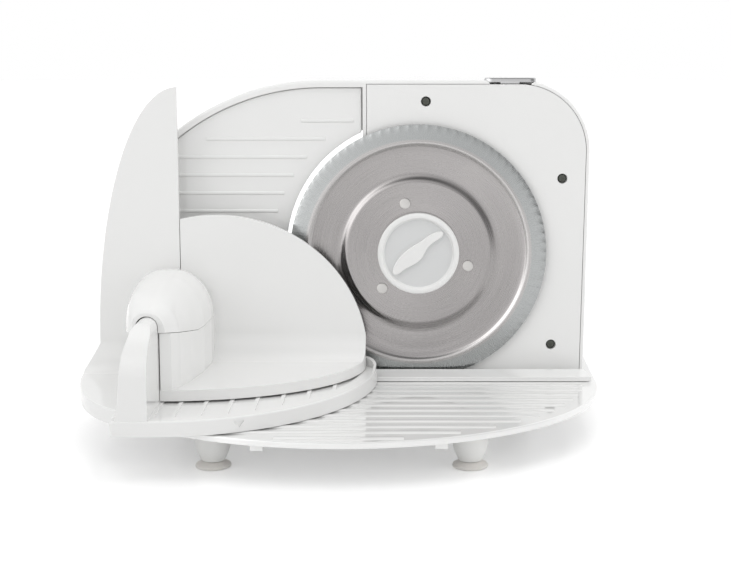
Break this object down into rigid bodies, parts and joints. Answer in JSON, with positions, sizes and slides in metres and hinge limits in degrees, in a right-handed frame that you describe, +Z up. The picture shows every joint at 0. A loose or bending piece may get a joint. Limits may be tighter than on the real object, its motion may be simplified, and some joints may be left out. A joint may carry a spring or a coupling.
{
  "type": "meat slicer",
  "caption": "Table slicer with a worm-driven serrated blade, a thickness plate set by a dial, and a sliding carriage with a pusher.",
  "frame": {"origin": "on the table, under the middle of the whole slicer's bounding box at rest", "axes": "+X to the operator's right along the carriage's travel, +Y away from the operator, +Z up"},
  "size_m": [0.3766, 0.258, 0.2538],
  "materials": {
    "gloss_white_abs": "glossy moulded white",
    "satin_white_abs": "satin moulded white",
    "grey_silicone": "matt soft grey",
    "grey_nylon": "moulded dark grey",
    "stainless_steel": "brushed, circular on the blade",
    "sintered_bronze": "sintered, oiled",
    "chromed_abs": "bright plated",
    "white_acetal": "smooth matt white"
  },
  "bodies": {
    "machine": {"base_plate": "gloss_white_abs", "guide_rail": "gloss_white_abs", "leg_front_left": "satin_white_abs", "leg_front_right": "satin_white_abs", "leg_rear_left": "satin_white_abs", "leg_rear_right": "satin_white_abs", "suction_cup_front_left": "grey_silicone", "suction_cup_front_right": "grey_silicone", "suction_cup_rear_left": "grey_silicone", "suction_cup_rear_right": "grey_silicone", "housing": "gloss_white_abs", "front_panel": "gloss_white_abs", "panel_screw_1": "stainless_steel", "panel_screw_2": "stainless_steel", "panel_screw_3": "stainless_steel", "base_screw_1": "stainless_steel", "base_screw_2": "stainless_steel", "base_screw_3": "stainless_steel", "base_screw_4": "stainless_steel", "gear_frame": "grey_nylon", "axle_bush": "sintered_bronze", "motor_can": "stainless_steel", "motor_end_cap": "grey_nylon", "micro_switch": "grey_nylon", "cord_grommet": "grey_nylon", "guide_rod_1": "stainless_steel", "guide_rod_2": "stainless_steel"},
    "carriage": {"carriage": "gloss_white_abs", "glide_pad_1": "white_acetal", "glide_pad_2": "white_acetal", "glide_pad_3": "white_acetal"},
    "pusher": {"pusher": "gloss_white_abs", "pusher_cap": "gloss_white_abs"},
    "blade_set": {"blade": "stainless_steel", "blade_carrier_wheel": "grey_nylon", "blade_rivet_1": "stainless_steel", "blade_rivet_2": "stainless_steel", "blade_rivet_3": "stainless_steel", "blade_axle": "stainless_steel", "bayonet_pin": "stainless_steel", "axle_clip": "stainless_steel"},
    "knob": {"locking_knob": "gloss_white_abs"},
    "rotor": {"rotor_shaft": "stainless_steel", "motor_fan": "grey_nylon"},
    "dial": {"thickness_dial": "satin_white_abs", "dial_spindle": "stainless_steel"},
    "thickness_plate": {"gauge_plate": "gloss_white_abs"},
    "button": {"power_button": "chromed_abs"}
  },
  "joints": [
    {"name": "carriage_slide", "type": "slide", "parent": "machine", "child": "carriage", "axis": [1, 0, 0], "range_m": [0, 0.15]},
    {"name": "pusher_slide", "type": "slide", "parent": "carriage", "child": "pusher", "axis": [0, -1, 0], "range_m": [0, 0.085]},
    {"name": "blade_spin", "type": "hinge", "parent": "machine", "child": "blade_set", "pos_m": [0.05625, 0.037, 0.1252], "axis": [0, -1, 0], "continuous": true},
    {"name": "knob_turn", "type": "hinge", "parent": "blade_set", "child": "knob", "pos_m": [0.05625, 0.037, 0.1252], "axis": [0, -1, 0], "range_deg": [0, 90]},
    {"name": "rotor_spin", "type": "hinge", "parent": "machine", "child": "rotor", "pos_m": [0.05625, 0.066, 0.1716], "axis": [1, 0, 0], "continuous": true},
    {"name": "dial_turn", "type": "hinge", "parent": "machine", "child": "dial", "pos_m": [-0.11025, 0.037, 0.095], "axis": [0, 1, 0], "range_deg": [-110, 190]},
    {"name": "plate_slide", "type": "slide", "parent": "machine", "child": "thickness_plate", "axis": [0, 1, 0], "range_m": [-0.0055, 0.0095]},
    {"name": "button_press", "type": "slide", "parent": "machine", "child": "button", "axis": [0, 0, -1], "range_m": [0, 0.0014], "stiffness_N_per_m": 300, "springref_m": -0.001}
  ],
  "couplings": [
    {"joint": "rotor_spin", "follows": "blade_spin", "ratio": 24},
    {"joint": "plate_slide", "follows": "dial_turn", "m_per_rad": 0.002864}
  ]
}
